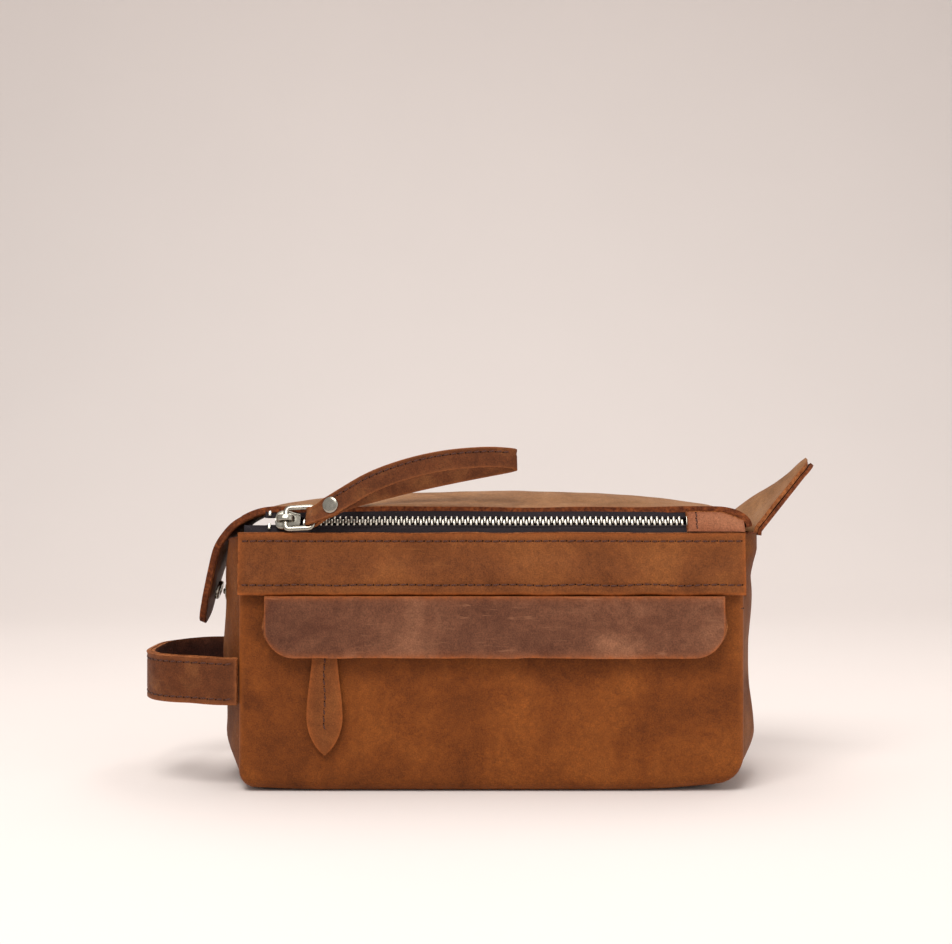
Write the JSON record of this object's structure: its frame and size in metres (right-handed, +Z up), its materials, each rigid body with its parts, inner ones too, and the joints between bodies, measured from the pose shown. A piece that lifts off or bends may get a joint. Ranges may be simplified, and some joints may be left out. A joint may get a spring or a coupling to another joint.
{
  "type": "shaving kit bag",
  "caption": "Soft leather shaving kit bag with a hinged zip-edged lid, snapped end tongue, end handle, wrist loop and a zipped front pocket under a storm flap.",
  "frame": {"origin": "centre of the flat part of the base's underside", "axes": "+X along the bag's length towards the plain ear end, +Y from the pocket side to the lid's hinge side, +Z up"},
  "size_m": [0.3474, 0.1075, 0.1704],
  "materials": {
    "leather_tan": "worn full-grain leather, waxed",
    "leather_brown": "pull-up leather with scratches",
    "leather_light": "smooth tan leather",
    "zip_metal": "polished nickel",
    "zip_tape": "woven herringbone tape",
    "leather_dark": "dark suede flesh side",
    "lining_cloth": "twill cotton"
  },
  "bodies": {
    "bag": {"front_panel": "leather_tan", "back_panel": "leather_tan", "base_panel": "leather_tan", "left_gusset": "leather_tan", "right_gusset": "leather_tan", "lining_bag": "lining_cloth", "top_band": "leather_brown", "front_zip_tape": "zip_tape", "front_zip_chain": "zip_metal", "front_top_stop": "zip_metal", "zip_bottom_stop": "zip_metal", "zip_end_patch": "leather_light", "pocket_lower_tape": "zip_tape", "pocket_upper_tape": "zip_tape", "pocket_lower_chain": "zip_metal", "pocket_upper_chain": "zip_metal", "pocket_bag": "lining_cloth", "snap_stud": "zip_metal", "snap_stud_washer": "zip_metal"},
    "lid": {"lid_outer": "leather_light", "lid_lining": "leather_dark", "rear_zip_tape": "zip_tape", "rear_zip_chain": "zip_metal", "rear_top_stop": "zip_metal"},
    "tongue": {"tongue_outer": "leather_brown", "tongue_lining": "leather_dark", "snap_cap": "zip_metal", "snap_socket": "zip_metal"},
    "ear": {"ear_upper_layer": "leather_light", "ear_lower_layer": "leather_brown"},
    "main_slider": {"main_slider_top": "zip_metal", "main_slider_bottom": "zip_metal", "main_slider_crown": "zip_metal"},
    "pull_ring": {"pull_ring": "zip_metal"},
    "wrist_loop": {"wrist_strap": "leather_tan", "rivet_cap": "zip_metal", "rivet_back": "zip_metal"},
    "storm_flap": {"storm_flap": "leather_brown"},
    "pocket_slider": {"pocket_slider_body": "zip_metal", "pocket_slider_crown": "zip_metal"},
    "pocket_pull": {"pocket_pull_front": "leather_brown", "pocket_pull_back": "leather_brown"},
    "handle": {"handle_outer_strap": "leather_tan", "handle_inner_strap": "leather_dark"}
  },
  "joints": [
    {"name": "lid_hinge", "type": "hinge", "parent": "bag", "child": "lid", "pos_m": [0, 0.0473, 0.1286], "axis": [-1, 0, 0], "range_deg": [0, 100]},
    {"name": "tongue_hinge", "type": "hinge", "parent": "lid", "child": "tongue", "pos_m": [-0.1245, 0, 0.136], "axis": [0, 1, 0], "range_deg": [-2, 110]},
    {"name": "ear_hinge", "type": "hinge", "parent": "bag", "child": "ear", "pos_m": [0.136, 0, 0.1304], "axis": [0, 1, 0], "range_deg": [-50, 126]},
    {"name": "main_zip_slide", "type": "slide", "parent": "lid", "child": "main_slider", "axis": [1, 0, 0], "range_m": [0, 0.175]},
    {"name": "pull_ring_hinge", "type": "hinge", "parent": "main_slider", "child": "pull_ring", "pos_m": [-0.1014, -0.04783, 0.13511], "axis": [0, -0.4226, -0.9063], "range_deg": [0, 120]},
    {"name": "wrist_loop_hinge", "type": "hinge", "parent": "pull_ring", "child": "wrist_loop", "pos_m": [-0.0878, -0.04931, 0.1358], "axis": [0, -0.4226, -0.9063], "range_deg": [0, 45]},
    {"name": "storm_flap_hinge", "type": "hinge", "parent": "bag", "child": "storm_flap", "pos_m": [0, -0.053, 0.0971], "axis": [-1, 0, 0], "range_deg": [0, 110]},
    {"name": "pocket_zip_slide", "type": "slide", "parent": "bag", "child": "pocket_slider", "axis": [1, 0, 0], "range_m": [0, 0.165]},
    {"name": "pocket_pull_swing", "type": "hinge", "parent": "pocket_slider", "child": "pocket_pull", "pos_m": [-0.082, -0.0493, 0.073], "axis": [0, 1, 0], "range_deg": [-20, 20]},
    {"name": "handle_flex", "type": "hinge", "parent": "bag", "child": "handle", "pos_m": [-0.1365, 0, 0.0552], "axis": [0, 1, 0], "range_deg": [-35, 35]}
  ]
}
